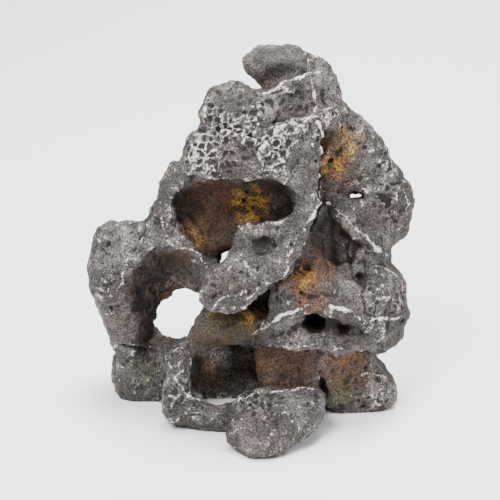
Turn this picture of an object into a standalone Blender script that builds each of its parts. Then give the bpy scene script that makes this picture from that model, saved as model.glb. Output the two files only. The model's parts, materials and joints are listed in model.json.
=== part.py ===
"""Cave ornament in cast resin: one water-worn rock, cast in separate blocks that are bonded together.

The rock is modelled whole: rounded hulls melted together, less the hollows that water left in it. It
is then shared out between the castings, which meet on flat joints with room for the adhesive.
Positions and radii are written in millimetres; +X is the viewer's right, +Y goes away from the viewer,
+Z is up, and the ornament stands on Z = 0.
"""

from math import radians

import bmesh
import bpy
from mathutils import Euler, Matrix, Vector

MM = 0.001
BOND_GAP = 0.4  # room for the adhesive between two castings
VOXEL = 2.0  # grid that fuses the hulls
FINE_VOXEL = 1.5  # grid for the hollows, and for the skin once they are cut
SOFTEN = 5  # smoothing passes that melt the hulls together
SWELL = 0.5  # what the smoothing takes off, given back
WEATHERING = 1.6  # height of the slow bumps that water leaves in stone
WEATHERING_SPAN = 13.0  # distance from one such bump to the next
TRIANGLES = 9200  # for the whole rock
REACH = 400.0  # longer than any straight line through the rock

GREY = ("slate_resin", (0.16, 0.15, 0.15), 0.82)
BROWN = ("rust_resin", (0.21, 0.14, 0.09), 0.85)


# ---------------------------------------------------------------- modelling tools


def clear_scene():
    for old in list(bpy.data.objects):
        bpy.data.objects.remove(old)


def material(name, colour, roughness):
    made = bpy.data.materials.get(name) or bpy.data.materials.new(name)
    made.use_nodes = True
    shader = made.node_tree.nodes["Principled BSDF"]
    shader.inputs["Base Color"].default_value = (*colour, 1)
    shader.inputs["Roughness"].default_value = roughness
    shader.inputs["Metallic"].default_value = 0
    return made


def new_object(name, built):
    """An object in the scene with the given mesh, which is in millimetres."""
    mesh = bpy.data.meshes.new(name)
    bmesh.ops.scale(built, vec=(MM, MM, MM), verts=built.verts)
    built.to_mesh(mesh)
    built.free()
    obj = bpy.data.objects.new(name, mesh)
    bpy.context.scene.collection.objects.link(obj)
    return obj


def ball(at, radii, turn=(0, 0, 0)):
    """An ellipsoid, turned in degrees about X, then Y, then Z."""
    turned = Euler([radians(angle) for angle in turn]).to_matrix().to_4x4()
    place = Matrix.Translation(Vector(at)) @ turned @ Matrix.Diagonal((*radii, 1))

    def add(target):
        bmesh.ops.create_icosphere(target, subdivisions=4, radius=1, matrix=place)

    return add


def hull(*knobs):
    """The tightest skin round several spheres, each given as (x, y, z, radius)."""

    def add(target):
        skin = bmesh.new()
        for x, y, z, radius in knobs:
            place = Matrix.Translation((x, y, z))
            bmesh.ops.create_icosphere(skin, subdivisions=3, radius=radius, matrix=place)
        points = [vert.co.copy() for vert in skin.verts]
        skin.clear()
        for point in points:
            skin.verts.new(point)
        made = bmesh.ops.convex_hull(skin, input=skin.verts)
        bmesh.ops.delete(skin, geom=made["geom_interior"], context="VERTS")
        holder = bpy.data.meshes.new("hull")
        skin.to_mesh(holder)
        skin.free()
        target.from_mesh(holder)
        bpy.data.meshes.remove(holder)

    return add


def limb(*knobs):
    """A limb that tapers from each sphere to the next."""
    links = [hull(first, second) for first, second in zip(knobs, knobs[1:])]

    def add(target):
        for link in links:
            link(target)

    return add


def settle(obj):
    """Gives the object the mesh that its modifiers make."""
    graph = bpy.context.evaluated_depsgraph_get()
    obj.data = bpy.data.meshes.new_from_object(obj.evaluated_get(graph))
    obj.modifiers.clear()


def fuse(obj, voxel):
    """Melts whatever overlaps in an object into one closed skin."""
    skin = obj.modifiers.new("fuse", "REMESH")
    skin.mode = "VOXEL"
    skin.voxel_size = voxel * MM


def lump(name, shapes, voxel, soften, swell, height):
    """One body made of overlapping shapes, melted together and weathered."""
    built = bmesh.new()
    for shape in shapes:
        shape(built)
    obj = new_object(name, built)
    fuse(obj, voxel)
    melt = obj.modifiers.new("melt", "SMOOTH")
    melt.iterations = soften
    melt.factor = 0.5
    grow = obj.modifiers.new("grow", "DISPLACE")
    grow.mid_level = 0
    grow.strength = swell * MM
    texture = bpy.data.textures.new(name, "CLOUDS")
    texture.noise_scale = WEATHERING_SPAN * MM
    texture.noise_depth = 2
    bumps = obj.modifiers.new("weather", "DISPLACE")
    bumps.texture = texture
    bumps.texture_coords = "GLOBAL"
    bumps.strength = 2 * height * MM
    bumps.mid_level = 0.5
    settle(obj)
    return obj


def boolean(obj, cutter, operation, solver="EXACT"):
    cut = obj.modifiers.new("cut", "BOOLEAN")
    cut.operation = operation
    cut.solver = solver
    cut.object = cutter
    settle(obj)


def thin_out(obj, triangles):
    """Lowers the number of triangles where the surface is plain."""
    fewer = obj.modifiers.new("fewer", "DECIMATE")
    fewer.ratio = min(1.0, triangles / (2 * len(obj.data.polygons)))
    settle(obj)


# ---------------------------------------------------------------- the rock, lobe by lobe


def crown_hook():
    """The knob that curls over the crown's dish."""
    lobes = [
        hull((1, 10, 209, 6), (7, 12, 212, 7.5), (20, 13, 213, 7.5), (27, 12, 209, 8), (8, 4, 202, 5),
             (20, 4, 201, 7), (11, 4, 206, 8)),
    ]
    share = [side((0, 3, 205), (0, -1, -0.2)), side((0, 0, 197), (0, 0, -1)), side((31, 0, 205), (1, 0, 0.3))]
    return lobes, [], share


def crown():
    """The rim and the dish at the top."""
    lobes = [
        hull((34, 6, 207, 8.5), (39, 4, 202, 9), (41, 2, 194, 9.5), (39, 0, 186, 10), (30, 0, 201, 7)),
        limb((6, -8, 195, 5), (16, -10, 199, 5.5), (27, -11, 204, 6), (34, -8, 206, 6)),
        hull((10, -10, 190, 9), (21, -8, 192, 9), (30, -6, 194, 9), (27, -14, 183, 9), (9, -14, 183, 8),
             (22, 8, 183, 14)),
        limb((34, -12, 204, 4), (35, -15, 196, 4), (34, -18, 189, 4), (27, -23, 184, 4)),
    ]
    scoops = [ball((18, -5, 207), (16, 7, 9), (0, -25, 0)), ball((26, -24, 198), (8, 5, 10))]
    share = [side((0, 0, 171), (0, 0, -1)), side((16, 0, 171), (0.5, 0, -0.86))]
    return lobes, scoops, share


def brow_slab():
    """The honeycombed slab that overhangs the upper cavity."""
    lobes = [
        hull((-19, -14, 195, 8.5), (-10, -12, 200, 5.5), (-21, -18, 190, 9), (-7, -16, 192, 9),
             (3, -14, 192, 9), (-14, -20, 188, 8), (6, -18, 186, 8)),
        hull((-26, -24, 174, 9), (-29, -26, 165, 10), (-29, -26, 160, 9), (-15, -32, 163, 8.5),
             (2, -33, 164, 9), (8, -30, 174, 9), (-7, -26, 177, 10), (-21, -22, 177, 9)),
        hull((-12, -6, 182, 12), (4, -4, 178, 14), (-18, -8, 164, 14), (4, -8, 164, 14)),
        limb((6, -38, 173, 4), (16, -34, 182, 4), (24, -32, 186, 4), (37, -26, 187, 4), (46, -14, 189, 5)),
    ]
    scoops = [ball((-26, -38, 187), (10, 8, 3), (0, 20, 0)), ball((-3, -26, 203), (7, 8, 4))]
    share = [side((13, 0, 180), (1, 0, 0.1)), side((0, 0, 150), (0, 0, -1)), side((0, -5, 0), (0, 1, 0))]
    return lobes, scoops, share


def centre_ribbon():
    """The face plate that twists down into a ribbon and ends in a blunt nose."""
    lobes = [
        hull((33, -26, 181, 5), (34, -35, 167, 4.5), (33, -38, 153, 4.5), (16, -32, 172, 6),
             (11, -36, 163, 6), (24, -37, 152, 5)),
        hull((30, -18, 173, 8), (16, -22, 163, 8), (29, -26, 152, 7)),
        limb((32, -38, 153, 5), (32, -40, 144, 5), (28, -40, 135, 5.5), (24, -40, 128, 6),
             (20, -42, 115, 6), (17, -44, 106, 5.5)),
        limb((-5, -36, 127, 3.5), (7, -38, 127, 4), (19, -40, 130, 5)),
        hull((-5, -32, 122, 4), (21, -36, 124, 5), (19, -41, 111, 6), (6, -44, 103, 7),
             (-5, -40, 108, 7), (-11, -38, 96, 8)),
        hull((6, -44, 103, 6.5), (-2, -45, 95, 7), (-12, -45, 87, 7.5), (-22, -44, 89, 8),
             (-20, -38, 97, 8), (-7, -42, 103, 8)),
        limb((7, -30, 106, 11), (9, -8, 96, 14)),
        limb((20, -32, 119, 8), (20, -10, 113, 12)),
    ]
    scoops = [
        ball((5, -46, 120), (8, 9, 6.5)),
        ball((25, -47, 169), (9, 7, 13)),
        ball((6, -36, 86), (4.5, 14, 3)),
        ball((11, -52, 107), (2.5, 5, 2.2)),
    ]
    share = [
        side((20, 0, 170), (-0.49, 0, 0.87)),
        side((9, 0, 172), (-0.88, 0, 0.47)),
        side((30, 0, 112), (0.79, 0, -0.61)),
        side((0, -22, 0), (0, 1, 0)),
        side((0, 0, 78), (0, 0, -1)),
    ]
    return lobes, scoops, share


def left_shoulder():
    """The slope that walls the upper cavity on the left."""
    lobes = [
        hull((-42, 2, 147, 7.5), (-46, 0, 134, 9), (-38, 16, 129, 12)),
        hull((-46, 0, 134, 9), (-48, -1, 125, 9.5), (-52, -1, 115, 9.5), (-40, 16, 118, 12)),
        hull((-52, -1, 115, 10), (-59, 0, 108, 9), (-46, -4, 110, 7), (-51, 14, 105, 11)),
        limb((-50, -8, 110, 5), (-39, -11, 110, 5), (-30, -14, 105, 5), (-24, -20, 98, 6), (-18, -30, 92, 8)),
        limb((-36, 6, 108, 9), (-27, 4, 100, 9)),
    ]
    share = [
        side((-28, 0, 130), (1, 0, 0.45)),
        side((-60, 0, 117), (-0.45, 0, -0.89)),
        side((0, 27, 0), (0, 1, 0)),
    ]
    return lobes, [], share


def left_arch():
    """The bulging arch with the funnel that opens into the large window."""
    lobes = [
        hull((-81, 16, 100, 12), (-72, 12, 102, 12), (-62, 8, 101, 12), (-83, 14, 86, 13), (-82, 12, 75, 13),
             (-79, 32, 82, 14)),
        hull((-81, 12, 75, 13), (-77, 14, 61, 12.5), (-74, 18, 47, 12), (-72, 18, 36, 11), (-76, 34, 50, 12)),
        limb((-60, 12, 99, 14), (-47, 12, 95, 14), (-34, 8, 89, 14), (-27, 0, 80, 12)),
        limb((-73, 26, 86, 20), (-61, 30, 86, 18), (-45, 32, 86, 16), (-28, 28, 77, 14)),
        limb((-73, 26, 86, 20), (-75, 32, 58, 18), (-69, 34, 34, 13), (-52, 32, 25, 11)),
        limb((-67, 36, 46, 9), (-62, 36, 65, 10), (-48, 37, 70, 10), (-33, 34, 75, 10)),
    ]
    scoops = [
        limb((-51, -34, 94, 24), (-49, -8, 82, 21), (-47, 8, 66, 16)),
        hull((-51, -30, 92, 20), (-53, -14, 69, 14), (-48, 8, 67, 15)),
        hull((-46, -20, 66, 12.8), (-39, -20, 75, 10), (-48, 64, 33, 13.6), (-41, 64, 42, 10.6)),
    ]
    share = [
        side((-35, 0, 60), (0.8, 0, -0.6)),
        side((-14, 0, 0), (1, 0, 0)),
        side((-60, 0, 117), (0.45, 0, 0.89)),
    ]
    return lobes, scoops, share


def left_foot():
    """The block under the arch."""
    lobes = [
        hull((-70, 22, 24, 10), (-70, 25, -2, 12), (-56, 22, 24, 9), (-52, 25, -2, 12), (-69, 42, 2, 12),
             (-58, 44, 24, 12), (-77, 32, 14, 7), (-68, 40, 26, 11)),
        hull((-58, 22, 26, 9), (-43, 12, 34, 8), (-42, 12, 12, 9), (-52, 22, 4, 9)),
    ]
    share = [side((-47, 0, 0), (1, 0, 0)), side((0, 0, 37), (0, 0, 1))]
    return lobes, [], share


def entrance_ring():
    """The lip of the cave entrance, open to the floor."""
    lobes = [
        limb((-36, -6, 46, 6), (-41, -12, 40, 7), (-43, -18, 29, 7.5), (-44, -22, 18, 9),
             (-42, -24, 12, 9.5), (-29, -26, 9, 8.5), (-16, -26, 7, 8), (-4, -26, 9, 9)),
        hull((-40, -20, 10, 9), (-28, -20, 5, 8.5), (-13, -20, 2, 9), (-43, 0, 6, 10)),
        hull((-40, 0, 36, 7), (-40, 0, 6, 9), (-46, 20, 8, 9), (-43, 18, 31, 8)),
        limb((-36, -4, 42, 6), (-23, -12, 56, 8), (-7, -16, 60, 9)),
    ]
    scoops = [
        limb((-18, -44, 41, 15), (-18, -16, 28, 17), (-16, 2, 25, 14), (-9, 13, 24, 11)),
        hull((-16, -10, 8, 12), (-14, 5, 5, 10), (-24, 0, 8, 10)),
    ]
    share = [side((9, 0, 0), (1, 0, 0)), side((0, 33, 0), (0, 1, 0)), side((0, 0, 62), (0, 0, 1))]
    return lobes, scoops, share


def toe_rock():
    """The rock that stands forward on the floor."""
    lobes = [
        hull((31, -34, 19, 11), (30, -42, 15, 11), (6, -34, 19, 10), (-1, -40, 17, 10),
             (22, -52, 14, 10), (6, -50, 12, 10)),
        hull((-6, -56, 10, 8.5), (3, -62, 7, 9.5), (14, -60, 8, 9), (-1, -50, 9, 9)),
        hull((6, -30, 19, 8), (31, -28, 18, 9), (22, -14, 12, 12)),
    ]
    scoops = [ball((17, -72, 11), (16, 4, 2.5), (0, -18, 0))]
    share = [side((-7, -38, 0), (-0.8, 0.6, 0)), side((0, -21, 0), (0, 1, 0)), side((0, 0, 38), (0, 0, 1))]
    return lobes, scoops, share


def column():
    """The wall behind the toe rock, with the cave on its left."""
    lobes = [
        hull((9, -10, 41, 7), (12, -12, 24, 7), (36, -8, 40, 9), (36, -10, 16, 9), (22, -10, 16, 10),
             (23, 14, 26, 14)),
        hull((50, -2, 39, 9), (50, -4, 13, 9), (64, 2, 32, 8), (64, 0, 19, 9), (58, 20, 24, 14)),
        hull((-24, -10, 58, 9), (-1, -12, 61, 10), (28, -10, 55, 10), (-13, 14, 52, 12), (28, 14, 52, 14)),
    ]
    scoops = [ball((42, -14, 18), (1.8, 13, 11), (0, -16, 0))]
    share = [side((0, 0, 62), (0, 0, 1)), side((0, 35, 0), (0, 1, 0))]
    return lobes, scoops, share


def right_foot():
    """The outcrop at the lower right."""
    lobes = [
        hull((54, 6, 8, 10), (68, 4, 8, 10), (76, 6, 13, 8.5), (77, 5, 7, 8.5), (52, 4, 4, 9),
             (71, 20, 11, 12), (63, 14, 21, 9)),
    ]
    scoops = [ball((60, -14, 23), (9, 8, 8))]
    share = [side((43, 0, 0), (-1, 0, 0)), side((0, 0, 46), (0, 0, 1)), side((0, 33, 0), (0, 1, 0))]
    return lobes, scoops, share


def niche_shelf():
    """The overhanging shelf with a niche under its brow."""
    lobes = [
        limb((10, -28, 67, 5), (22, -30, 73, 5), (34, -31, 77, 5), (47, -30, 75, 5), (60, -27, 68, 6),
             (69, -22, 60, 7)),
        limb((9, -24, 57, 5), (28, -26, 55, 6), (45, -25, 54, 6), (64, -20, 54, 7)),
        hull((12, -18, 61, 7), (35, -18, 66, 9), (65, -12, 56, 9), (46, 0, 51, 14), (22, 0, 51, 12)),
    ]
    scoops = [
        limb((12, -34, 63, 3), (26, -36, 67, 6), (36, -36, 69, 7.5), (53, -34, 65, 6),
             (63, -28, 60, 3.5)),
        limb((35, -30, 68, 6.5), (38, -14, 63, 5)),
        ball((52, -24, 62), (4, 7, 2.4), (0, -25, 0)),
    ]
    share = [
        side((34, 0, 83), (-0.33, 0, 0.94)),
        side((34, 0, 83), (0.38, 0, 0.92)),
        side((9, 0, 60), (-1, 0, 0)),
        side((65, 0, 60), (1, 0, 0)),
        side((0, -4, 0), (0, 1, 0)),
        side((0, 0, 51), (0, 0, -1)),
    ]
    return lobes, scoops, share


def right_lobe():
    """The rounded end of the shelf."""
    lobes = [
        hull((80, 8, 79, 9), (82, 6, 70, 9.5), (80, 2, 53, 10), (74, -4, 49, 8), (71, -6, 72, 10),
             (76, 16, 64, 12)),
        hull((80, 2, 53, 10), (73, -2, 47, 9), (80, 0, 62, 10)),
    ]
    share = [side((62, 0, 70), (-1, 0, 0.1)), side((0, 0, 95), (0, 0, 1)), side((0, 0, 44), (0, 0, -1)),
             side((0, 37, 0), (0, 1, 0))]
    return lobes, [], share


def right_flank():
    """The long hollow face below the shoulder's edge."""
    lobes = [
        hull((22, -20, 101, 8), (30, -24, 85, 9), (18, -28, 78, 7), (45, -20, 80, 9), (28, -8, 104, 10)),
        hull((30, -24, 85, 9), (50, -22, 78, 9), (69, -14, 75, 9), (76, 2, 82, 9), (57, -8, 85, 10),
             (58, 10, 72, 14)),
        limb((75, 4, 88, 6), (71, 0, 102, 5), (65, -3, 111, 4), (56, -4, 117, 4), (49, -4, 127, 4)),
        hull((52, 14, 102, 12), (69, 14, 92, 12), (46, 12, 84, 14), (34, 8, 104, 12)),
        ball((65, -4, 96), (5, 6, 7)),
    ]
    scoops = [
        limb((42, -20, 131, 7), (49, -20, 119, 11), (56, -22, 108, 13), (65, -20, 94, 9)),
        ball((61, -12, 87), (2.5, 8, 5)),
        ball((42, -24, 136), (5, 18, 13), (0, 12, 0)),
        limb((32, -24, 116, 6), (28, -28, 102, 7)),
    ]
    share = [
        side((14, 0, 0), (-1, 0, 0)),
        side((0, 20, 0), (0, 1, 0)),
        side((0, 0, 128), (0, 0, 1)),
        side((0, 0, 62), (0, 0, -1)),
    ]
    return lobes, scoops, share


def right_shoulder():
    """The wing on the right, pierced by a slit."""
    lobes = [
        hull((47, 6, 181, 9), (58, 8, 170, 9.5), (66, 10, 162, 9.5), (69, 12, 153, 9.5), (53, 8, 159, 12)),
        hull((69, 12, 153, 9), (72, 12, 140, 9.5), (86, 16, 128, 8.5), (86, 16, 124, 9), (71, 12, 136, 10)),
        hull((85, 14, 128, 10), (83, 12, 114, 9), (74, 8, 104, 8), (61, 2, 118, 6), (54, 0, 128, 5),
             (68, 10, 122, 9)),
        hull((47, 6, 172, 10), (45, 6, 142, 10), (54, 10, 140, 10), (45, 10, 122, 12)),
    ]
    scoops = [
        hull((56, -10, 137, 2.2), (64, -10, 137, 2), (59, 60, 114, 2.6), (67, 60, 114, 2.4)),
        ball((48, -14, 157), (11, 14, 18), (0, 12, 0)),
        ball((57, -6, 140), (9, 9, 7)),
        ball((76, -2, 131), (14, 8, 2.0), (0, 38, 0)),
    ]
    share = [side((34, 0, 0), (-1, 0, 0)), side((60, 0, 107), (-0.69, 0, -0.72))]
    return lobes, scoops, share


def upper_core():
    """The mass behind the upper lobes, with the wall of the upper cavity."""
    lobes = [
        hull((-30, 16, 145, 12), (-33, 20, 119, 12), (-16, 14, 96, 10), (4, 14, 175, 14), (33, 14, 175, 12),
             (45, 18, 138, 14), (34, 16, 101, 14), (5, 14, 96, 12)),
        hull((28, 14, 90, 14), (58, 22, 87, 14), (46, 16, 51, 14), (5, 10, 66, 14), (-16, 4, 75, 10)),
    ]
    scoops = [
        hull((-37, -34, 145, 12), (-32, -30, 135, 12), (14, -40, 145, 11), (-32, -2, 127, 14),
             (14, -8, 134, 14)),
        hull((-32, -24, 130, 11), (-15, -26, 127, 10), (-27, -6, 115, 10), (-14, -8, 119, 10),
             (-17, -16, 107, 7), (-18, -2, 99, 6)),
        limb((-17, -14, 105, 8), (-16, 6, 94, 6)),
        hull((-13, -24, 108, 3.4), (-15, -24, 102, 4.8), (-13, 70, 74, 3.8), (-16, 70, 68, 5)),
    ]
    share = []
    return lobes, scoops, share


def rear_base():
    """The buttress behind the cave."""
    lobes = [
        hull((-36, 30, 0, 13), (-2, 31, 0, 14), (-20, 34, 10, 10)),
        hull((-34, 41, 0, 12), (-4, 43, 0, 12), (-8, 46, 30, 10)),
        hull((-38, 42, 4, 12), (-30, 48, 20, 10), (-12, 50, 38, 12), (18, 56, 46, 13), (48, 50, 44, 14),
             (58, 42, 6, 14), (20, 58, 4, 13), (-20, 56, 4, 12)),
        hull((34, 60, 6, 11), (44, 57, 30, 11), (62, 40, 30, 12), (60, 46, 4, 12)),
        limb((-34, 50, 10, 9), (-20, 59, 24, 8), (0, 62, 34, 9)),
    ]
    scoops = [
        limb((10, 82, 14, 15), (12, 66, 16, 12), (4, 56, 18, 10)),
        ball((60, 66, 26), (9, 12, 11)),
        ball((-14, 70, 42), (8, 10, 6), (0, 20, 0)),
    ]
    share = [side((0, 0, 62), (0, 0, 1)), side((0, 22, 10), (0, -0.94, 0.34))]
    return lobes, scoops, share


def rear_crag():
    """The crag that backs the upper half."""
    lobes = [
        hull((8, 30, 128, 14), (34, 38, 118, 15), (22, 30, 160, 14), (14, 22, 184, 12),
             (-14, 28, 150, 12)),
        hull((12, 42, 112, 13), (40, 44, 102, 14), (34, 52, 62, 13), (16, 52, 70, 12)),
        limb((-18, 34, 148, 9), (-2, 46, 132, 9), (16, 54, 104, 9), (22, 60, 72, 10)),
        limb((52, 24, 150, 11), (54, 36, 122, 11), (52, 48, 92, 11)),
    ]
    scoops = [
        ball((36, 62, 124), (9, 16, 22), (0, 8, 0)),
        ball((26, 48, 164), (7, 10, 9)),
        ball((2, 58, 118), (7, 10, 10)),
        ball((54, 62, 72), (8, 10, 7)),
    ]
    share = [side((0, 26, 0), (0, -1, 0)), side((-12, 0, 0), (-1, 0, 0)), side((0, 0, 62), (0, 0, -1))]
    return lobes, scoops, share


# Name, finish and maker of each casting, in the order in which they take their share of the rock.
CASTINGS = [
    ("crown_hook", GREY, crown_hook),
    ("centre_ribbon", GREY, centre_ribbon),
    ("brow_slab", GREY, brow_slab),
    ("crown", GREY, crown),
    ("toe_rock", GREY, toe_rock),
    ("niche_shelf", GREY, niche_shelf),
    ("left_foot", GREY, left_foot),
    ("left_shoulder", GREY, left_shoulder),
    ("left_arch", GREY, left_arch),
    ("entrance_ring", GREY, entrance_ring),
    ("right_lobe", GREY, right_lobe),
    ("right_shoulder", GREY, right_shoulder),
    ("right_flank", GREY, right_flank),
    ("rear_base", GREY, rear_base),
    ("right_foot", BROWN, right_foot),
    ("column", BROWN, column),
    ("rear_crag", GREY, rear_crag),
    ("upper_core", BROWN, upper_core),
]


def side(point, outward):
    """A flat joint through a point; the casting lies behind it."""
    return Vector(point), Vector(outward).normalized()


def block(sides, grown=0):
    """The space behind all the joints, moved outward by the amount given."""
    built = bmesh.new()
    bmesh.ops.create_cube(built, size=2 * REACH)
    for point, outward in sides:
        geometry = built.verts[:] + built.edges[:] + built.faces[:]
        cut = bmesh.ops.bisect_plane(
            built, geom=geometry, plane_co=point + outward * grown, plane_no=outward, clear_outer=True
        )
        rim = [edge for edge in cut["geom_cut"] if isinstance(edge, bmesh.types.BMEdge)]
        bmesh.ops.edgenet_fill(built, edges=rim)
    bmesh.ops.recalc_face_normals(built, faces=built.faces)
    return new_object("block", built)


def ground():
    return block([side((0, 0, 0), (0, 0, 1))])


def keep_main_body(obj):
    """Drops the crumbs that a cut leaves loose."""
    mesh = bmesh.new()
    mesh.from_mesh(obj.data)
    waiting = set(mesh.faces)
    bodies = []
    while waiting:
        body = set()
        edge = {waiting.pop()}
        while edge:
            body |= edge
            edge = {near for face in edge for line in face.edges for near in line.link_faces} - body
        waiting -= body
        bodies.append(body)
    bodies.sort(key=len)
    for crumb in bodies[:-1]:
        bmesh.ops.delete(mesh, geom=list(crumb), context="FACES")
    bmesh.ops.triangulate(mesh, faces=mesh.faces)
    mesh.to_mesh(obj.data)
    mesh.free()


def copy_of(obj, name):
    copy = obj.copy()
    copy.data = obj.data.copy()
    copy.name = name
    bpy.context.scene.collection.objects.link(copy)
    return copy


def share_out(rock, name, finish, sides):
    """Gives a casting its share of the rock, and takes that share and the bond away from the rock."""
    piece = copy_of(rock, name)
    if sides:
        claim = block(sides)
        boolean(piece, claim, "INTERSECT")
        bpy.data.objects.remove(claim)
        claim = block(sides, BOND_GAP)
        boolean(rock, claim, "DIFFERENCE")
        bpy.data.objects.remove(claim)
    keep_main_body(piece)
    piece.data.materials.clear()
    piece.data.materials.append(material(*finish))


def main():
    clear_scene()
    lobes = []
    scoops = []
    for name, finish, maker in CASTINGS:
        more, less, sides = maker()
        lobes += more
        scoops += less
    rock = lump("rock", lobes, VOXEL, SOFTEN, SWELL, WEATHERING)
    hollows = lump("hollows", scoops, FINE_VOXEL, 3, 0.3, WEATHERING / 2)
    boolean(rock, hollows, "DIFFERENCE", "MANIFOLD")  # the weathered hollows fold over themselves
    fuse(rock, FINE_VOXEL)
    settle(rock)
    floor = ground()
    boolean(rock, floor, "DIFFERENCE")
    bpy.data.objects.remove(hollows)
    bpy.data.objects.remove(floor)
    thin_out(rock, TRIANGLES)
    keep_main_body(rock)
    for name, finish, maker in CASTINGS:
        share_out(rock, name, finish, maker()[2])
    bpy.data.objects.remove(rock)


main()
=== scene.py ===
"""Looks of the resin cave ornament.

The castings are covered by one continuous skin, which is carved, pitted and painted as a whole and then
shared out again, so that the joints between the castings don't show. Lengths are in millimetres until the
pieces are made.
"""

import json
import math

import bpy
import numpy as np
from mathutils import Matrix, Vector, noise
from mathutils.bvhtree import BVHTree


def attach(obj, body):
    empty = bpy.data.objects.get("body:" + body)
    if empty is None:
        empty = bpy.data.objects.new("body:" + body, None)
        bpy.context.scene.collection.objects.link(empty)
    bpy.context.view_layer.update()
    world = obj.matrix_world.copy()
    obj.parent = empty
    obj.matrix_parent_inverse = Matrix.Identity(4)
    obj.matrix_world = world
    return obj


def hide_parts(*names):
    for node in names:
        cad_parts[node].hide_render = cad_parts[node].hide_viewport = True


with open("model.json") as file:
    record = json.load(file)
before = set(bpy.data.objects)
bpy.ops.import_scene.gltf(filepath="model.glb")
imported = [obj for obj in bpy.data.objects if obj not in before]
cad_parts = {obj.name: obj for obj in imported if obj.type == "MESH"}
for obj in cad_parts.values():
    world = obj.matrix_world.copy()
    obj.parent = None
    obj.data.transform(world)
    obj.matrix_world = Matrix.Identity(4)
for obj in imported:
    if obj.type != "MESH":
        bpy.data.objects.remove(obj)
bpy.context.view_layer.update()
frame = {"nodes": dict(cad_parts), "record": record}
noise.seed_set(7)  # noise_vector draws its offsets from this seed, or else from the clock

MM = 0.001
SKIN_VOXEL = 0.8
SOFTEN = round(11 / SKIN_VOXEL**2)  # smoothing passes that melt the castings' edges together
SEAL = 0.45  # how far each casting swells, so that the skin closes over the glued joints
FAR = 99.0
RIDGE_REACH = 9.0  # no ridge or groove is felt further away
BURIED = 1.4  # how deep a joint face lies under the skin, at its middle, to be kept
TUCK = 0.8  # how deep under the skin the rims of the joint faces are pushed
COVER = 0.2  # the least depth of any part of a joint face
EYE = Vector((-1.2, -1315.6, 579.8))
TARGET = Vector((-1.2, 0.0, 101.0))
LENS = 173.8

# linear colours of the paint
SLATE = (0.052, 0.0455, 0.0440)
ASH = (0.175, 0.150, 0.142)
BONE = (0.66, 0.59, 0.54)
# near-black of the dark wash and of the painted shade in hollows
WASH_AND_SHADE_BLACK = (0.010, 0.0075, 0.0065)
UMBER = (0.036, 0.019, 0.009)
RUST = (0.135, 0.052, 0.016)
OCHRE = (0.27, 0.13, 0.030)
GOLD = (0.46, 0.26, 0.045)
OLIVE = (0.062, 0.042, 0.009)
MOSS = (0.055, 0.056, 0.022)
STAINS = {"rust": RUST, "ochre": OCHRE, "olive": OLIVE, "moss": MOSS, "umber": UMBER}
REAR_STAINS = ((23, RUST, 0.9), (17, OLIVE, 0.8), (14, OCHRE, 0.6))  # span (mm), colour, strength


# ---------------------------------------------------------------- laying things on the skin from the front
def look_axes():
    """Which way the front view looks, and its right and its up."""
    forward = (TARGET - EYE).normalized()
    right = Vector((1, 0, 0))
    return forward, right, right.cross(forward)


def on_skin(tree, across, up):
    """The point of the skin seen in front at a place of the front view, in mm from the target."""
    forward, right, above = look_axes()
    through = TARGET + right * across + above * up
    return tree.ray_cast(EYE, (through - EYE).normalized())[0]


def trail(tree, places, seed, step=1.5, wander=1.2, bend=5.0, jump=10.5):
    """A wavering line laid on the skin through places of the front view. It breaks where the depth jumps."""
    runs = [[]]
    for start, end in zip(places, places[1:]):
        length = math.dist(start, end)
        count = max(1, round(length / step))
        for k in range(count):
            share = k / count
            x = start[0] + (end[0] - start[0]) * share
            y = start[1] + (end[1] - start[1]) * share
            shift = noise.noise_vector(Vector((x / bend, y / bend, seed * 7.3))) * wander
            hit = on_skin(tree, x + shift.x, y + shift.y)
            if hit is None:
                continue
            if runs[-1] and (hit - runs[-1][-1]).length > jump:
                runs.append([])
            runs[-1].append(hit)
    return [np.array(run) for run in runs if len(run) > 1]


def distance_to_trail(points, run):
    """The distance of every point to a line of points; what is out of reach counts as FAR."""
    best = np.full(len(points), FAR)
    low, high = run.min(0) - RIDGE_REACH, run.max(0) + RIDGE_REACH
    near = np.flatnonzero(((points > low) & (points < high)).all(1))
    if not len(near):
        return best
    here = points[near]
    found = np.full(len(near), FAR)
    for a, b in zip(run, run[1:]):
        along = b - a
        share = np.clip(((here - a) @ along) / max(along @ along, 1e-9), 0, 1)
        gap = np.linalg.norm(here - a - share[:, None] * along, axis=1)
        found = np.minimum(found, gap)
    best[near] = found
    return best


# ---------------------------------------------------------------- the skin
def merged(node):
    """A node's points in mm and its triangles, with the points that lie together made one."""
    mesh = node.data
    points = np.empty(len(mesh.vertices) * 3)
    mesh.vertices.foreach_get("co", points)
    points = np.round(points.reshape(-1, 3) / MM, 4)
    mesh.calc_loop_triangles()
    corners = np.empty(len(mesh.loop_triangles) * 3, dtype=np.int64)
    mesh.loop_triangles.foreach_get("vertices", corners)
    unique, back = np.unique(points, axis=0, return_inverse=True)
    return unique, back.reshape(-1)[corners].reshape(-1, 3)


def point_normals(points, faces):
    a, b, c = (points[faces[:, k]] for k in range(3))
    flat = np.cross(b - a, c - a)
    total = np.zeros_like(points)
    for k in range(3):
        for axis in range(3):
            total[:, axis] += np.bincount(faces[:, k], flat[:, axis], len(points))
    return total / np.maximum(np.linalg.norm(total, axis=1), 1e-12)[:, None]


def mesh_object(name, points, faces):
    mesh = bpy.data.meshes.new(name)
    mesh.from_pydata(points.tolist(), [], faces)
    obj = bpy.data.objects.new(name, mesh)
    bpy.context.scene.collection.objects.link(obj)
    return obj


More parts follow.
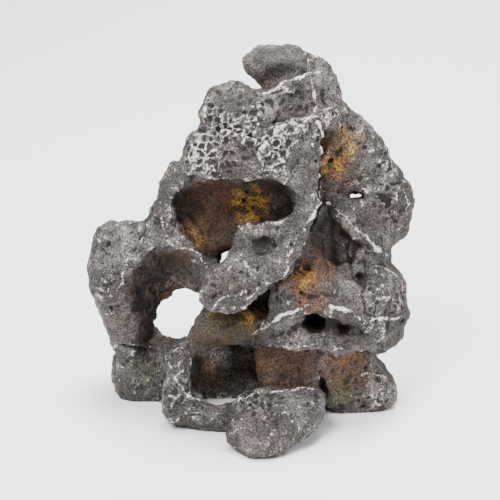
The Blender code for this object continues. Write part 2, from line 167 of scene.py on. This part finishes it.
def wrap(castings):
    """One closed skin over all the castings: points and four-sided faces."""
    points, faces, start = [], [], 0
    for corners, triangles in castings.values():
        swollen = corners + SEAL * point_normals(corners, triangles)
        points.append(swollen)
        faces.append(triangles + start)
        start += len(corners)
    obj = mesh_object("skin", np.vstack(points), np.vstack(faces).tolist())
    obj.data.remesh_voxel_size = SKIN_VOXEL
    obj.data.remesh_voxel_adaptivity = 0
    bpy.ops.object.select_all(action="DESELECT")
    bpy.context.view_layer.objects.active = obj
    obj.select_set(True)
    bpy.ops.object.voxel_remesh()
    mesh = obj.data
    found = np.empty(len(mesh.vertices) * 3)
    mesh.vertices.foreach_get("co", found)
    quads = np.empty(len(mesh.loops), dtype=np.int64)
    mesh.loops.foreach_get("vertex_index", quads)
    bpy.data.objects.remove(obj)
    return found.reshape(-1, 3), quads.reshape(-1, 4)


class Skin:
    """The skin's points and faces, with the neighbours of each point."""

    def __init__(self, points, quads):
        self.points, self.quads = points, quads
        sides = np.vstack([quads[:, [k, (k + 1) % 4]] for k in range(4)])
        sides = np.unique(np.sort(sides, axis=1), axis=0)
        self.a, self.b = sides[:, 0], sides[:, 1]
        self.count = np.bincount(sides.ravel(), minlength=len(points))

    def soften(self, values, times):
        """Draws each point's values towards those of its neighbours."""
        values = values.astype(float)
        flat = values if values.ndim == 2 else values[:, None]
        for _ in range(times):
            total = np.empty_like(flat)
            for k in range(flat.shape[1]):
                column = flat[:, k]
                total[:, k] = np.bincount(self.a, column[self.b], len(flat))
                total[:, k] += np.bincount(self.b, column[self.a], len(flat))
            flat = flat * 0.4 + 0.6 * total / self.count[:, None]
        return flat if values.ndim == 2 else flat[:, 0]

    def normals(self):
        p = self.points
        q = self.quads
        flat = np.cross(p[q[:, 2]] - p[q[:, 0]], p[q[:, 3]] - p[q[:, 1]])
        total = np.zeros_like(p)
        for k in range(4):
            for axis in range(3):
                total[:, axis] += np.bincount(q[:, k], flat[:, axis], len(p))
        return total / np.maximum(np.linalg.norm(total, axis=1), 1e-12)[:, None]

    def raise_by(self, heights):
        """Moves the skin out along its normals, and never through the ground."""
        lift = np.clip(self.points[:, 2] / 3, 0, 1)
        self.points = self.points + self.normals() * (heights * lift)[:, None]
        self.points[:, 2] = np.maximum(self.points[:, 2], 0)

    def tree(self):
        return BVHTree.FromPolygons(self.points.tolist(), self.quads.tolist())

    def relief(self, times):
        """How far each point stands out of its softened surroundings."""
        return ((self.points - self.soften(self.points, times)) * self.normals()).sum(1)


def at_points(points, size, make):
    return np.array([make(Vector(p)) for p in (points / size).tolist()])


def lumps(points, size, seed):
    return at_points(points + seed * 41.7, size, noise.noise)


def cells(points, size, seed, warp=0.35):
    """Distances to the nearest and next seed of a cell pattern, in cell sizes, and a value per cell."""
    found = np.empty((len(points), 3))
    for k, p in enumerate(((points + seed * 29.3) / size).tolist()):
        here = Vector(p)
        here += noise.noise_vector(here * 0.9) * warp
        gaps, seeds = noise.voronoi(here)
        nearest = seeds[0]
        value = (nearest.x * 12.9898 + nearest.y * 78.233 + nearest.z * 37.719) % 1
        found[k] = gaps[0], gaps[1], value
    return found


def step_up(values, low, high):
    share = np.clip((values - low) / (high - low), 0, 1)
    return share * share * (3 - 2 * share)


# ---------------------------------------------------------------- where things are
# ridges: how far out (mm), how wide (mm), how white, and the places they run through in the front view
RIDGES = [
    # crown: front rim, vertical crease, hook's edge
    (1.1, 1.1, 0.84, [(8, 91), (13, 92), (18, 95), (24, 99), (30, 101), (36, 103), (43, 104)]),
    (0.9, 0.9, 0.9, [(35, 100), (37, 93), (39, 85), (37, 78), (30, 74)]),
    (0.7, 0.8, 0.39, [(2, 113), (0, 108), (3, 101), (8, 93)]),
    (0.7, 0.9, 0.56, [(32, 114), (34, 108), (33, 103)]),
    # brow: honeycombed edge under the crown, its lower lip
    (1.1, 1.4, 0.67, [(7, 58), (12, 65), (17, 70), (26, 75), (39, 77), (51, 85)]),
    (0.8, 1.1, 0.25, [(-37, 45), (-29, 42), (-17, 42), (-6, 43), (6, 42)]),
    (0.6, 1.0, 0.56, [(5, 57), (7, 50), (5, 44)]),
    (0.7, 1.0, 0.34, [(-26, 92), (-16, 96), (-8, 99), (0, 95), (7, 90)]),
    # ribbon: sharp right edge and its sweep down to the nose
    (1.4, 1.0, 0.95, [(39, 74), (41, 64), (41, 52), (41, 41), (40, 29), (37, 22), (31, 13)]),
    (1.2, 1.0, 0.67, [(31, 13), (27, 6), (23, -2), (21, -10), (17, -17)]),
    (1.0, 1.1, 0.78, [(-7, 14), (0, 14), (9, 15), (18, 16), (23, 19)]),
    (0.8, 1.0, 0.67, [(-24, -36), (-20, -31), (-13, -27), (-6, -26), (-1, -23)]),
    (0.7, 1.0, 0.45, [(-2, -7), (0, -14), (7, -19), (15, -19)]),
    (0.7, 1.0, 0.56, [(-52, 27), (-51, 20), (-51, 13), (-46, 6)]),
    # rim between the cavity and the large window
    (1.2, 1.1, 0.62, [(-48, 6), (-43, 2), (-36, 1), (-30, -2), (-27, -8), (-23, -13)]),
    (0.9, 1.0, 0.5, [(-23, -13), (-16, -13), (-10, -10), (-6, -5), (-3, 2)]),
    (0.8, 1.0, 0.56, [(-72, -7), (-74, -14), (-73, -23), (-72, -32)]),
    (0.9, 1.0, 0.5, [(-68, -7), (-63, -1), (-56, 2), (-49, 3)]),
    (0.8, 1.0, 0.62, [(-89, 12), (-81, 14), (-72, 15), (-64, 16)]),
    (0.7, 0.9, 0.45, [(-92, -20), (-85, -23), (-80, -27)]),
    # left foot and cave rim
    (0.8, 1.0, 0.67, [(-80, -59), (-77, -55), (-70, -54), (-60, -56), (-52, -57)]),
    (1.1, 1.1, 0.67, [(-49, -61), (-46, -68), (-42, -78), (-36, -85), (-28, -88), (-17, -88), (-8, -86)]),
    (1.0, 1.0, 0.56, [(-44, -58), (-38, -56), (-35, -61), (-34, -71), (-30, -78), (-22, -82)]),
    (1.1, 1.0, 0.5, [(0, -57), (3, -64), (5, -71), (7, -78)]),
    # toe rock
    (0.8, 1.0, 0.67, [(-8, -86), (0, -85), (7, -82), (17, -82), (29, -81), (38, -82)]),
    (0.8, 1.1, 0.5, [(-13, -106), (-6, -103), (3, -104), (13, -107), (23, -106)]),
    # niche shelf: its long pale lip
    (1.3, 1.0, 0.95, [(1, -49), (8, -45), (17, -39), (29, -34), (37, -31), (46, -32), (57, -36), (65, -41)]),
    (1.1, 1.0, 0.84, [(65, -42), (71, -41), (78, -39), (89, -39)]),
    (0.8, 1.0, 0.45, [(7, -56), (20, -55), (35, -55), (52, -56), (67, -58)]),
    (0.7, 0.9, 0.56, [(46, -34), (49, -42), (46, -50)]),
    # right flank and shoulder
    (1.2, 1.0, 0.84, [(45, 27), (50, 24), (55, 19), (61, 13), (67, 8), (73, 1), (78, -3)]),
    (0.9, 1.0, 0.56, [(42, 26), (39, 16), (35, 8)]),
    (0.8, 1.0, 0.62, [(65, 36), (73, 31), (80, 26), (86, 20)]),
    (0.7, 1.0, 0.45, [(52, 86), (56, 77), (59, 68)]),
    (0.7, 1.0, 0.56, [(79, 58), (82, 49), (87, 42), (93, 37)]),
    (0.7, 0.9, 0.56, [(89, 34), (92, 27), (90, 17), (86, 10)]),
    (0.7, 0.9, 0.62, [(71, -9), (77, -10), (82, -13), (88, -19), (89, -27)]),
    (0.9, 1.0, 0.67, [(63, -73), (67, -71), (74, -72), (81, -75)]),
    (0.7, 0.8, 0.45, [(59, 2), (58, -5), (59, -10)]),
    (0.7, 0.9, 0.6, [(13, 48), (20, 52), (23, 60), (31, 65)]),
    (0.7, 0.9, 0.55, [(-26, 77), (-27, 85), (-23, 89)]),
    (0.7, 0.8, 0.5, [(-22, 73), (-14, 71), (-6, 73), (1, 71)]),
    (0.6, 0.8, 0.5, [(55, 81), (59, 85), (65, 80)]),
    (0.7, 0.9, 0.55, [(73, -29), (79, -27), (86, -29), (90, -35)]),
    (0.7, 0.9, 0.5, [(7, -32), (12, -39), (9, -45)]),
    (0.7, 0.9, 0.5, [(5, -100), (10, -95), (20, -94), (29, -97)]),
    (0.6, 0.8, 0.45, [(-44, 37), (-39, 30), (-38, 22)]),
    (0.6, 0.8, 0.45, [(-9, -29), (-2, -29), (3, -24), (7, -20)]),
    # grooves
    (-1.6, 2.6, 0, [(22, -47), (31, -42), (42, -39), (51, -44), (60, -50)]),
    (-1.5, 2.2, 0, [(-16, -68), (-10, -74), (-2, -77)]),
    (-1.4, 2.0, 0, [(-31, 27), (-26, 21), (-16, 16)]),
    (-1.4, 2.2, 0, [(57, 75), (61, 66), (67, 58)]),
    (-1.4, 2.0, 0, [(78, 29), (82, 22), (85, 14)]),
    (-1.2, 2.0, 0, [(-85, 0), (-80, -7), (-81, -17), (-85, -27)]),
    (-1.3, 1.8, 0, [(7, -89), (10, -97), (7, -103)]),
    (-2.2, 1.6, 0, [(-36, 67), (-26, 71), (-14, 71), (-2, 67), (7, 63)]),
    (-1.6, 1.5, 0, [(7, 72), (8, 80), (7, 87)]),
    (-1.8, 1.5, 0, [(53, 85), (55, 74), (52, 64)]),
    (-1.8, 1.6, 0, [(-64, 6), (-61, 12), (-60, 16)]),
    (-1.6, 1.5, 0, [(67, -7), (67, -17), (66, -28), (67, -37)]),
    (-2.0, 1.6, 0, [(29, -24), (34, -27), (42, -26), (52, -27)]),
    (-1.5, 1.4, 0, [(-75, -55), (-67, -57), (-58, -58)]),
    (-1.4, 1.5, 0, [(46, 22), (48, 10), (49, -1), (51, -13)]),
    (-1.2, 1.4, 0, [(52, 16), (55, 6), (58, -7), (61, -20)]),
    (-1.2, 1.3, 0, [(42, 6), (44, -5), (46, -17)]),
    (-2.0, 1.8, 0, [(42, -71), (42, -78), (43, -85)]),
    (-1.4, 2.0, 0, [(-27, 9), (-29, 15), (-36, 21)]),
    (-1.2, 1.6, 0, [(24, -45), (17, -50), (7, -52)]),
]

# zones, by kind: strength, radius (mm), place in the front view
ZONES = {
    "smooth": [
        (0.9, 17, 14, 107), (0.4, 12, 42, 96),
    ],
    "pits": [
        (0.9, 22, -13, 84), (0.9, 20, -26, 55), (0.8, 17, -6, 58), (0.8, 15, 27, 74),
        (0.5, 14, 29, 87), (0.4, 14, 32, -46), (0.8, 14, 72, -82), (0.3, 18, -9, -23),
        (0.5, 18, 78, -35), (0.5, 20, 9, -87), (0.3, 18, -35, -84), (1.0, 11, 16, 68),
        (1.0, 11, 29, 74), (0.9, 10, 44, 80),
    ],
    "pale": [
        (0.7, 18, -29, 52), (0.5, 20, -6, 58), (0.5, 16, 9, 55), (0.4, 16, 41, 96),
        (0.5, 22, 72, 52), (0.2, 22, 84, 29), (0.5, 22, -84, -6), (0.4, 22, -84, -35),
        (0.5, 24, 9, -102), (0.4, 18, -41, -81), (0.5, 18, 80, -29), (0.6, 10, 78, -81),
        (1.0, 24, -14, -71),
    ],
    "umber": [
        (0.3, 12, 59, -36), (0.8, 18, -29, 20), (0.9, 18, -52, -9), (0.6, 14, -14, -70),
        (0.6, 12, -20, 7), (0.5, 12, 46, 9), (0.8, 10, 37, 6), (0.8, 12, 7, -64),
        (0.9, 14, -64, -23), (0.7, 14, -23, -55), (0.4, 16, -70, -44), (0.35, 14, -9, 49),
        (0.35, 12, 29, 81), (0.3, 20, 6, -104), (0.35, 14, -14, -23), (0.3, 14, 78, 20),
        (0.5, 14, 24, -67), (0.35, 14, 58, -46), (0.3, 14, 58, -70), (0.5, 12, -14, -49),
    ],
    "bone": [
        (0.7, 9, -29, 52), (0.7, 8, 13, 51), (0.4, 7, 23, 67), (0.5, 7, 61, 93), (0.8, 6, 16, 92),
        (0.5, 8, -6, -31), (0.5, 7, 74, -80), (0.45, 8, 36, 71), (0.45, 7, 46, 81),
        (0.5, 8, 29, -36), (0.6, 8, 15, 64), (0.5, 8, 29, 74),
    ],
    "rust": [
        (0.8, 13, 39, -7), (0.9, 10, 31, -19), (0.8, 20, -22, 26), (0.6, 18, 23, -67),
        (0.5, 16, 55, -67), (0.6, 12, 52, 44), (0.5, 14, -26, 12), (0.7, 10, 36, -29),
        (0.5, 10, -41, 20),
    ],
    "ochre": [
        (0.7, 13, 0, 26), (0.5, 11, 49, 52), (0.5, 12, 55, 61), (0.7, 8, 32, -15),
        (0.5, 12, -32, 6), (0.5, 9, 3, -39), (0.35, 14, 58, -71), (0.6, 8, 7, -65),
    ],
    "gold": [
        (1.0, 11, 0, 27), (0.6, 7, 55, 57), (0.6, 7, 48, 48), (0.7, 6, 3, -39), (0.7, 6, 32, -17),
        (0.5, 7, -32, 7),
    ],
    "olive": [
        (1.0, 17, -16, -46), (0.6, 12, -26, -51), (0.9, 14, -52, -7), (0.7, 12, -61, -14),
        (0.9, 12, -44, -5), (0.8, 12, -3, -49),
    ],
    "moss": [
        (0.7, 13, 52, -82), (0.4, 14, -65, -71), (0.4, 8, 59, -46), (0.6, 12, 44, -84),
    ],
    # dark: painted shade, spots blackened in the paint where the cave's openings and slits lie in shadow
    "dark": [
        (0.5, 14, -61, -20), (0.35, 12, -41, 26), (0.5, 10, -13, -65), (0.4, 9, 48, 14),
        (0.5, 6, 8, -26), (0.4, 9, 44, -49), (0.7, 12, -58, -41), (0.6, 12, -64, -32),
        (0.5, 9, 20, 22), (0.6, 9, -16, -3), (0.5, 10, 0, -57), (0.6, 8, 43, -80),
        (0.7, 12, -59, -29), (0.5, 10, -55, -20), (0.7, 9, 36, -44), (0.5, 9, 51, -46),
        (0.8, 11, -58, -39), (0.7, 10, -55, -15), (0.6, 9, -48, -10), (0.6, 8, -61, -49),
        (0.35, 9, 12, 7), (0.5, 7, 66, -19),
    ],
    # less of the dark wash and the painted shade here
    "less_wash_and_shade": [
        (1.0, 26, -14, -72), (0.6, 10, 20, 99), (0.9, 20, -22, 28),
    ],
}


def zone_weights(points, tree):
    """How much of each kind of zone there is at every point."""
    weights = {}
    for kind, spots in ZONES.items():
        weights[kind] = np.zeros(len(points))
        for strength, radius, across, up in spots:
            centre = on_skin(tree, across, up)
            if centre is None:
                continue
            gap = np.linalg.norm(points - np.array(centre), axis=1)
            weight = strength * (1 - step_up(gap, 0.45 * radius, 1.3 * radius))
            weights[kind] = np.maximum(weights[kind], weight)
    return weights.__getitem__


def openness(skin, rays=20, reach=45.0, samples=25000):
    """The share of the sky that each point sees, worked out on a thinned set and spread."""
    tree = skin.tree()
    normals = skin.soften(skin.normals(), 3)
    golden = math.pi * (3 - math.sqrt(5))
    sky = []
    for k in range(rays * 2):
        z = 1 - (k + 0.5) / rays
        r = math.sqrt(max(0, 1 - z * z))
        sky.append(Vector((r * math.cos(golden * k), r * math.sin(golden * k), z)))
    chosen = np.arange(0, len(skin.points), max(1, len(skin.points) // samples))
    seen = np.full(len(skin.points), np.nan)
    for index in chosen:
        out = Vector(normals[index])
        start = Vector(skin.points[index]) + out * 0.8
        total = free = 0
        for ray in sky:
            facing = ray.dot(out)
            if facing < 0.15:
                continue
            total += facing
            if tree.ray_cast(start, ray, reach)[0] is None:
                free += facing
        seen[index] = free / max(total, 1e-6)
    known = ~np.isnan(seen)
    value = np.where(known, seen, 0.0)
    share = known.astype(float)
    for _ in range(6):
        value, share = skin.soften(value, 3), skin.soften(share, 3)
    return value / np.maximum(share, 1e-9)


# ---------------------------------------------------------------- carving
def carve(skin):
    """Weathers the skin and returns what the paint needs to know."""
    skin.points = skin.soften(skin.points, SOFTEN)
    skin.points[:, 2] = np.where(skin.points[:, 2] < 1.2, 0, skin.points[:, 2])
    tree = skin.tree()
    base = skin.points.copy()
    zone = zone_weights(base, tree)
    rough = 1 - 0.8 * zone("smooth")

    line = np.zeros(len(base))
    out = np.zeros(len(base))
    wobble = np.clip(0.8 + 1.1 * lumps(base, 5, 3), 0.3, 1.5)
    broken = np.clip(0.97 + 0.9 * lumps(base, 6, 41), 0.72, 1.1)
    for seed, (height, width, whiteness, places) in enumerate(RIDGES):
        for run in trail(tree, places, seed):
            gap = distance_to_trail(base, run)
            profile = height * broken * np.exp(-(gap / (width * wobble)) ** 2)
            out = np.where(np.abs(profile) > np.abs(out), profile, out)
            if height > 0:
                near = np.clip(1 - gap / (2.3 * wobble), 0, 1)
                line = np.maximum(line, whiteness * broken * near)
    behind = step_up(base[:, 1], 8, 26)

    big = lumps(base, 21, 1)
    middle = lumps(base, 9, 2)
    edges = np.exp(-(np.abs(lumps(base, 15, 5)) / 0.09) ** 2)
    edges = edges * step_up(lumps(base, 25, 17), -0.2, 0.3)
    line = np.maximum(line, 0.42 * edges * behind * step_up(lumps(base, 7, 29), -0.2, 0.3))
    crest = step_up(line, 0.2, 0.6)
    small = lumps(base, 3.8, 6)
    fold = np.sqrt(np.abs(lumps(base, 13, 31)) + 0.02)
    height = 1.4 * middle + (0.45 + 0.8 * behind) * edges + 0.8 * small - 1.9 * (fold - 0.40)
    skin.raise_by(1.1 * big + height * rough + out)

    scattered = 0.05 + 0.8 * lumps(base, 22, 9)
    scattered = scattered + 0.9 * behind * step_up(lumps(base, 27, 33), 0.0, 0.3)
    pitted = np.clip(scattered + zone("pits") - zone("smooth"), 0, 1)
    comb = cells(base, 4.3, 1, 0.5)
    rim = comb[:, 1] - comb[:, 0]
    bowl = step_up(rim, 0.05, 0.50) * step_up(comb[:, 2], 0.0, 0.6)
    bowl = bowl * pitted * (1 - 0.6 * crest)
    holes = cells(base, 8, 4)
    hole = (holes[:, 2] < 0.16) * (1 - step_up(holes[:, 0], 0.08, 0.26)) * rough * (1 - crest)
    fine = lumps(base, 1.9, 8)
    skin.raise_by(0.35 * pitted - 1.25 * bowl - 1.8 * hole + 0.38 * fine * rough)
    web = np.clip(1 - rim / 0.45, 0, 1) * pitted
    return {
        "base": base,
        "zone": zone,
        "behind": behind,
        "line": line,
        "web": web,
        "bowl": bowl,
        "hole": hole,
    }


# ---------------------------------------------------------------- painting
def blend(colours, colour, share):
    share = np.clip(share, 0, 1)[:, None]
    return colours * (1 - share) + np.array(colour) * share


def paint(skin, known):
    """The stains, with some painted shade, under the top coat; how worn, webbed and brushed each point is;
    and how much dark wash and painted shade it takes.
    """
    base, zone = known["base"], known["zone"]
    open_sky = openness(skin)
    deep = 1 - open_sky
    fine = skin.relief(round(3.5 / SKIN_VOXEL**2))
    coarse = skin.relief(round(26 / SKIN_VOXEL**2))
    cloud = lumps(base, 15, 11)
    patch = lumps(base, 5, 12)
    speck = lumps(base, 1.5, 13)

    tone = np.tile(np.array(SLATE), (len(base), 1))
    tone = blend(tone, ASH, 0.10 + 0.9 * cloud + 0.8 * patch + 0.45 * zone("pale"))
    # partly a dark wash, partly painted shade: umber laid where the point sees little sky
    tone = blend(tone, UMBER, 1.15 * step_up(deep, 0.32, 0.76) * (1 - 0.7 * zone("less_wash_and_shade")))
    for kind, colour in STAINS.items():
        tone = blend(tone, colour, zone(kind) * (0.80 + 0.9 * patch + 0.5 * cloud))
    for size, colour, strength in REAR_STAINS:
        spread = step_up(lumps(base, size, size), 0.0, 0.4) * known["behind"]
        tone = blend(tone, colour, strength * spread * step_up(deep, 0.25, 0.6) * (0.7 + patch))
    tone = blend(tone, ASH, 0.5 * known["behind"] * (0.7 + patch + 1.2 * cloud))
    tone = blend(tone, GOLD, zone("gold") * step_up(patch + 0.6 * speck, -0.1, 0.4))

    # the stain zones, and the painted-shade zones (dark), keep the pale coat away
    dull = ("rust", "ochre", "olive", "umber", "dark")
    stain_and_shade = np.max([zone(kind) for kind in dull], axis=0)
    lit = step_up(open_sky, 0.25, 0.75) * (1 - 0.75 * stain_and_shade)
    worn = known["line"] * (0.35 + 0.65 * lit)
    web = known["web"] * (0.3 + 0.7 * lit)
    raised = 0.30 + fine / 1.1 + coarse / 4.0 + 0.25 * patch
    raised = raised + 0.25 * zone("pale") + 0.35 * zone("bone")
    brushed = np.clip(raised, 0, 1) * (0.25 + 0.75 * lit) * (1 - 0.45 * zone("smooth"))
    # partly a dark wash, partly painted shade: blackest in hollows, pits, holes, the dark spots and where
    # little sky is seen
    sunk = 0.12 - fine - coarse / 2.6
    sunk = sunk + 0.85 * known["bowl"] + known["hole"] + 0.6 * zone("dark")
    dark_wash_and_shade = np.clip(sunk + 0.35 * step_up(deep, 0.65, 0.95), 0, 1) * (1 - 0.6 * zone("less_wash_and_shade"))
    return tone, np.stack([worn, web, brushed, dark_wash_and_shade], axis=1)


# ---------------------------------------------------------------- materials
class Mixer:
    """Builds a material's nodes; every method returns the socket that holds its result."""

    def __init__(self, material):
        self.nodes, self.links = material.node_tree.nodes, material.node_tree.links

    def plug(self, value, socket):
        if isinstance(value, bpy.types.NodeSocket):
            self.links.new(value, socket)
        else:
            socket.default_value = value

    def grain(self, place, size, detail):
        node = self.nodes.new("ShaderNodeTexNoise")
        node.inputs["Scale"].default_value = 1 / (size * MM)
        node.inputs["Detail"].default_value = detail
        node.inputs["Roughness"].default_value = 0.6
        self.links.new(place, node.inputs["Vector"])
        return node.outputs["Fac"]

    def sum(self, a, b, times):
        """a + b * times"""
        node = self.nodes.new("ShaderNodeMath")
        node.operation = "MULTIPLY_ADD"
        self.plug(b, node.inputs[0])
        self.plug(times, node.inputs[1])
        self.plug(a, node.inputs[2])
        return node.outputs[0]

    def step(self, value, low, high, top=1.0, bottom=0.0):
        node = self.nodes.new("ShaderNodeMapRange")
        node.interpolation_type = "SMOOTHSTEP"
        self.plug(value, node.inputs["Value"])
        node.inputs["From Min"].default_value = low
        node.inputs["From Max"].default_value = high
        node.inputs["To Min"].default_value = bottom
        node.inputs["To Max"].default_value = top
        return node.outputs["Result"]

    def scale(self, colour, times):
        node = self.nodes.new("ShaderNodeVectorMath")
        node.operation = "SCALE"
        self.plug(colour, node.inputs[0])
        self.plug(times, node.inputs["Scale"])
        return node.outputs["Vector"]

    def mix(self, share, under, over):
        node = self.nodes.new("ShaderNodeMix")
        node.data_type = "RGBA"
        self.plug(share, node.inputs["Factor"])
        for value, socket in ((under, node.inputs["A"]), (over, node.inputs["B"])):
            self.plug(value if isinstance(value, bpy.types.NodeSocket) else (*value, 1), socket)
        return node.outputs["Result"]


def resin(name):
    """Painted resin: stains, a pale coat brushed on what stands out, a dark wash and painted shade in what
    lies deep.
    """
    material = bpy.data.materials.new(name)
    material.use_nodes = True
    mixer = Mixer(material)
    nodes = material.node_tree.nodes
    shader = nodes["Principled BSDF"]
    tone = nodes.new("ShaderNodeAttribute")
    tone.attribute_name = "tone"
    # second attribute: worn, webbed and brushed in its colour, the dark wash and painted shade in its alpha
    wear_and_shade = nodes.new("ShaderNodeAttribute")
    wear_and_shade.attribute_name = "wear_and_shade"
    split = nodes.new("ShaderNodeSeparateColor")
    mixer.links.new(wear_and_shade.outputs["Color"], split.inputs[0])
    worn, web, brushed = (split.outputs[k] for k in range(3))
    dark_wash_and_shade = wear_and_shade.outputs["Alpha"]
    place = nodes.new("ShaderNodeTexCoord").outputs["Object"]
    chips = mixer.grain(place, 2.2, 3)
    grit = mixer.grain(place, 1.05, 4)

    colour = tone.outputs["Color"]
    colour = mixer.scale(colour, mixer.step(grit, 0.35, 0.65, 1.35, 0.12))
    rubbed = mixer.sum(mixer.sum(brushed, chips, 0.8), grit, 1.5)
    colour = mixer.mix(mixer.step(rubbed, 1.84, 2.34, 0.85), colour, BONE)
    edge = mixer.sum(mixer.sum(web, chips, 0.7), grit, 0.8)
    colour = mixer.mix(mixer.step(edge, 1.52, 1.86, 0.80), colour, BONE)
    edge = mixer.sum(mixer.sum(worn, chips, 1.1), grit, 1.3)
    colour = mixer.mix(mixer.step(edge, 1.66, 2.02, 0.95), colour, BONE)
    # the dark wash and painted shade, broken by the grain, mixes in the near-black
    speckled_wash_and_shade = mixer.sum(mixer.sum(dark_wash_and_shade, chips, 0.4), grit, -0.5)
    colour = mixer.mix(mixer.step(speckled_wash_and_shade, 0.20, 0.66, 0.93), colour, WASH_AND_SHADE_BLACK)
    mixer.plug(colour, shader.inputs["Base Color"])
    mixer.plug(mixer.step(grit, 0.3, 0.7, 0.92, 0.70), shader.inputs["Roughness"])
    shader.inputs["Specular IOR Level"].default_value = 0.35
    bump = nodes.new("ShaderNodeBump")
    bump.inputs["Strength"].default_value = 0.6
    bump.inputs["Distance"].default_value = 0.0005
    mixer.plug(mixer.sum(grit, chips, 0.8), bump.inputs["Height"])
    mixer.plug(bump.outputs["Normal"], shader.inputs["Normal"])
    return material


# ---------------------------------------------------------------- sharing out
def owners(castings, skin_points, quads):
    """For each face of the skin, the number of the casting that lies nearest."""
    points, faces, owner, start = [], [], [], 0
    for number, (corners, triangles) in enumerate(castings.values()):
        points.append(corners)
        faces.append(triangles + start)
        owner += [number] * len(triangles)
        start += len(corners)
    tree = BVHTree.FromPolygons(np.vstack(points).tolist(), np.vstack(faces).tolist())
    centres = skin_points[quads].mean(1)
    return np.array([owner[tree.find_nearest(Vector(p))[2]] for p in centres.tolist()])


def above_skin(point, tree):
    """How far a point stands out of the skin, negative inside, with the skin's nearest place."""
    nearest, normal, _, _ = tree.find_nearest(point)
    return (point - nearest).dot(normal), nearest, normal


def hidden_faces(corners, triangles, tree):
    """The casting's flat joint faces, which lie inside the rock, with their rims tucked under the skin."""
    deep = [t for t in triangles if above_skin(Vector(corners[t].mean(0)), tree)[0] < -BURIED]
    tucked = corners.copy()
    for index in {int(k) for t in deep for k in t}:
        height, nearest, normal = above_skin(Vector(corners[index]), tree)
        if height > -TUCK:
            tucked[index] = nearest - normal * TUCK
    kept = []
    for triangle in deep:
        a, b, c = (Vector(tucked[k]) for k in triangle)
        tests = ((a + b) / 2, (b + c) / 2, (c + a) / 2, (a + b + c) / 3)
        tests += tuple((a + b + c + 3 * corner) / 6 for corner in (a, b, c))
        if all(above_skin(test, tree)[0] < -COVER for test in tests):
            kept.append(triangle)
    return tucked, np.array(kept, dtype=np.int64).reshape(-1, 3)


def add_piece(name, points, quads, coats, corners, hidden, material):
    """A casting's share of the skin, with its joint faces inside it, painted."""
    used, back = np.unique(quads, return_inverse=True)
    patch = back.reshape(-1, 4)
    inner, inner_back = np.unique(hidden, return_inverse=True)
    everything = np.vstack([points[used], corners[inner]]) * MM
    faces = patch.tolist() + (inner_back.reshape(-1, 3) + len(used)).tolist()
    obj = mesh_object(name, everything, faces)
    mesh = obj.data
    mesh.shade_smooth()
    # the second attribute's alpha carries the dark wash and the painted shade
    for title, coat, plain in (("tone", coats[0], SLATE), ("wear_and_shade", coats[1], (0, 0, 0.3, 0.2))):
        layer = mesh.attributes.new(title, "FLOAT_COLOR", "POINT")
        rgba = np.ones((len(everything), 4), dtype=np.float32)
        rgba[:, : len(plain)] = plain
        rgba[: len(used), : len(plain)] = coat[used]
        layer.data.foreach_set("color", rgba.ravel())
    mesh.materials.append(material)
    return obj


def dress():
    castings = {name: merged(node) for name, node in frame["nodes"].items()}
    points, quads = wrap(castings)
    skin = Skin(points, quads)
    share = owners(castings, points, quads)
    known = carve(skin)
    coats = paint(skin, known)
    tree = skin.tree()
    slots = {row["node"]: row["material_slot"] for row in frame["record"]["subparts"]}
    materials = {slot: resin("painted_" + slot) for slot in sorted(set(slots.values()))}
    for number, (name, (corners, triangles)) in enumerate(castings.items()):
        tucked, hidden = hidden_faces(corners, triangles, tree)
        patch = quads[share == number]
        material = materials[slots[name]]
        piece = add_piece(name + "_cast", skin.points, patch, coats, tucked, hidden, material)
        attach(piece, "root")
        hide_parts(name)


# ---------------------------------------------------------------- studio
def studio():
    world = bpy.data.worlds.new("studio")
    bpy.context.scene.world = world
    world.use_nodes = True
    world.node_tree.nodes["Background"].inputs["Color"].default_value = (1, 1, 1, 1)
    world.node_tree.nodes["Background"].inputs["Strength"].default_value = 0.55
    bpy.ops.mesh.primitive_plane_add(size=60, location=(0, 0, -0.0004))
    floor = bpy.context.object
    floor.name = "floor"
    material = bpy.data.materials.new("floor_paint")
    material.use_nodes = True
    shader = material.node_tree.nodes["Principled BSDF"]
    shader.inputs["Base Color"].default_value = (0.97, 0.97, 0.97, 1)
    shader.inputs["Roughness"].default_value = 0.9
    floor.data.materials.append(material)
    for name, place, size, power in (
        ("key", (-0.40, -0.85, 1.15), 0.55, 34),
        ("fill", (0.9, -0.8, 0.6), 0.9, 8),
        ("top", (0.1, 0.05, 1.3), 0.6, 32),
        ("rear", (0.2, 1.2, 0.8), 0.9, 18),
    ):
        light = bpy.data.lights.new(name, "AREA")
        light.size = size
        light.energy = power
        lamp = bpy.data.objects.new(name, light)
        lamp.location = place
        aim = Vector((0, 0, 0.1)) - Vector(place)
        lamp.rotation_euler = aim.to_track_quat("-Z", "Y").to_euler()
        bpy.context.scene.collection.objects.link(lamp)


def camera():
    data = bpy.data.cameras.new("camera")
    data.lens = LENS
    data.sensor_width = 36
    obj = bpy.data.objects.new("camera", data)
    obj.location = EYE * MM
    obj.rotation_euler = (TARGET - EYE).to_track_quat("-Z", "Y").to_euler()
    bpy.context.scene.collection.objects.link(obj)
    bpy.context.scene.camera = obj


dress()
studio()
camera()
